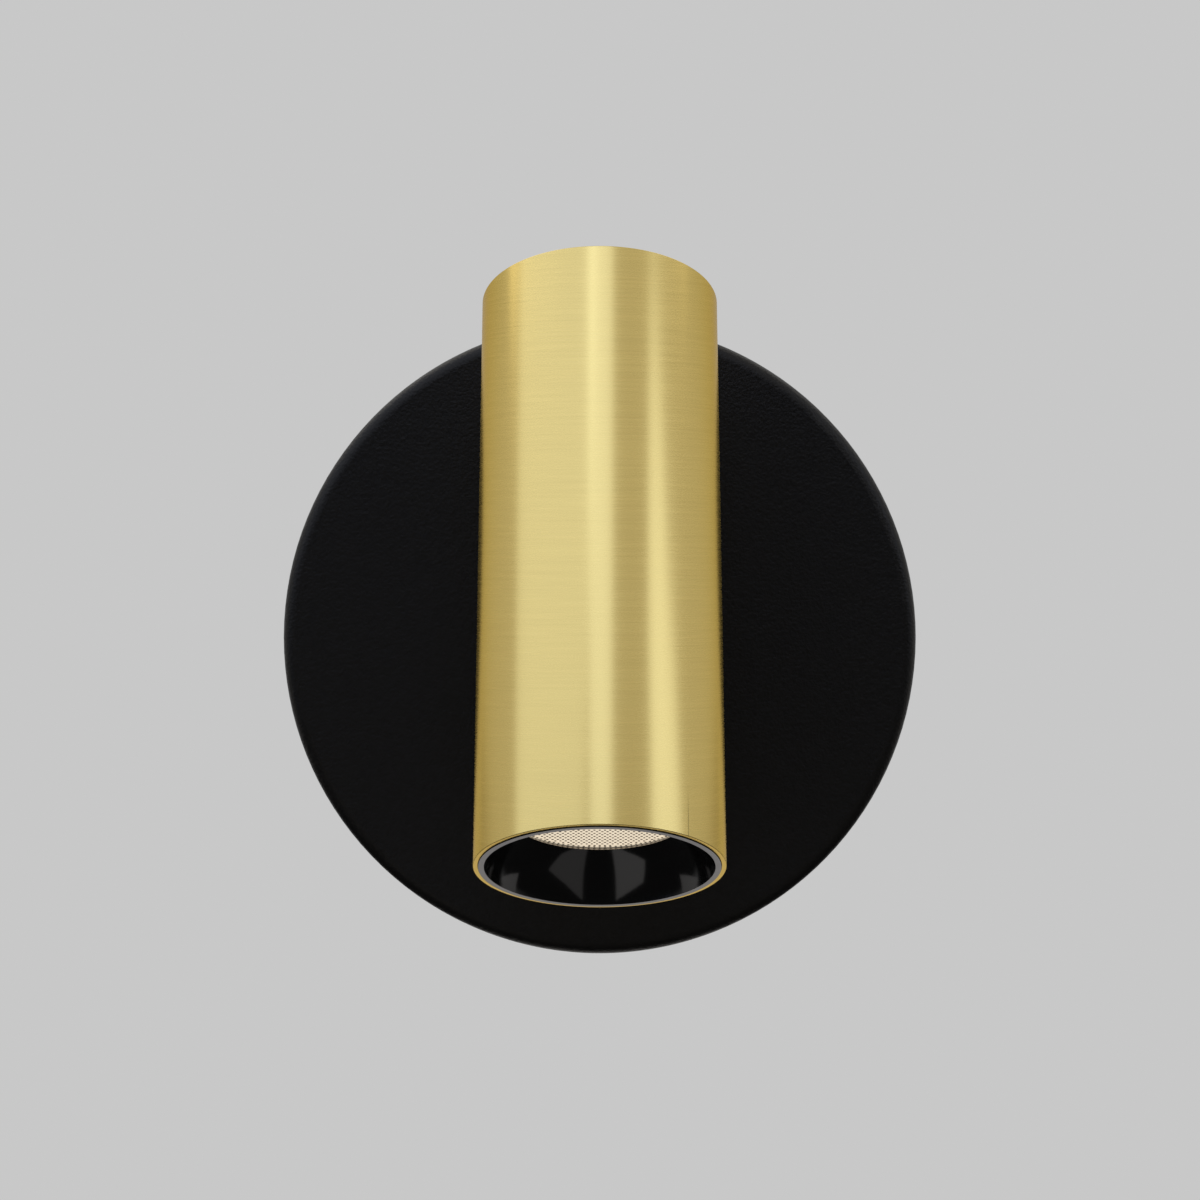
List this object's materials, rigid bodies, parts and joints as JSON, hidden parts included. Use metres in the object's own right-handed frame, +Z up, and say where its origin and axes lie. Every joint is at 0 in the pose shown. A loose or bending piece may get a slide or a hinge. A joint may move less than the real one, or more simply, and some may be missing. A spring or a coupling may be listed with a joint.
{
  "type": "wall spotlight",
  "caption": "Wall spotlight with a round black canopy and a brushed brass tube head that swivels and tilts on a hollow-stem knuckle, with a recessed lens behind a black baffle.",
  "frame": {"origin": "centre of the canopy in the plane of the wall", "axes": "+Z up, +Y into the wall, +X to the right as seen from the room; the light stands out along -Y"},
  "size_m": [0.15, 0.1461, 0.1597],
  "materials": {
    "black_powder": "fine-textured matt black powder coat",
    "black_satin": "satin black paint",
    "brushed_brass": "brushed satin brass, brushed around the tube",
    "gloss_black": "polished black moulding",
    "clear_lens": "moulded clear lens with rows of fine facets, cream over the emitter",
    "white_moulding": "white moulded plastic",
    "grey_moulding": "grey moulded plastic",
    "black_moulding": "black moulded plastic",
    "zinc_steel": "zinc-plated steel sheet",
    "screw_steel": "bright zinc-plated steel",
    "black_steel": "black oxide steel",
    "plain_brass": "turned brass",
    "heat_sink_metal": "plain extruded aluminium",
    "board_white": "aluminium-core board with white solder mask",
    "phosphor": "yellow phosphor in silicone",
    "grey_pad": "grey heat-conducting pad",
    "black_rubber": "black rubber",
    "grey_foam": "self-adhesive foam",
    "brown_lead": "brown insulated lead",
    "blue_lead": "blue insulated lead",
    "earth_lead": "green and yellow insulated lead",
    "white_lead": "white sheathed two-core lead",
    "nylon": "natural nylon"
  },
  "bodies": {
    "base": {"wall_bracket": "zinc_steel", "canopy": "black_powder", "canopy_screws": "black_steel", "terminal_block": "white_moulding", "terminal_screws": "screw_steel", "terminal_fixing_screw": "screw_steel", "earth_lug": "plain_brass", "earth_screw": "plain_brass", "driver_case": "white_moulding", "driver_lid": "grey_moulding", "driver_pads": "grey_foam", "live_lead": "brown_lead", "neutral_lead": "blue_lead", "earth_lead": "earth_lead", "driver_output_lead": "white_lead", "swivel_bush": "black_moulding", "swivel_stop_pin": "screw_steel"},
    "arm": {"swivel_arm": "black_satin", "swivel_nipple": "plain_brass", "stop_washer": "zinc_steel", "disc_spring": "screw_steel", "lock_nuts": "screw_steel", "pivot_screws": "black_steel", "friction_washers": "nylon", "arm_lead": "white_lead"},
    "head": {"hinge_lug": "black_satin", "lug_screws": "black_steel", "lamp_tube": "brushed_brass", "rear_cap": "brushed_brass", "heat_sink": "heat_sink_metal", "thermal_pad": "grey_pad", "led_board": "board_white", "led_emitter": "phosphor", "led_holder": "white_moulding", "led_holder_screws": "screw_steel", "lens": "clear_lens", "lens_holder": "white_moulding", "baffle": "gloss_black", "baffle_ring": "black_rubber", "lead_grommet": "black_rubber", "head_lead": "white_lead"}
  },
  "joints": [
    {"name": "head_swivel", "type": "hinge", "parent": "base", "child": "arm", "pos_m": [0, 0, 0], "axis": [0, 1, 0], "range_deg": [-165, 165]},
    {"name": "head_tilt", "type": "hinge", "parent": "arm", "child": "head", "pos_m": [0, -0.0605, 0], "axis": [-1, 0, 0], "range_deg": [-63.9, 16.1]}
  ]
}
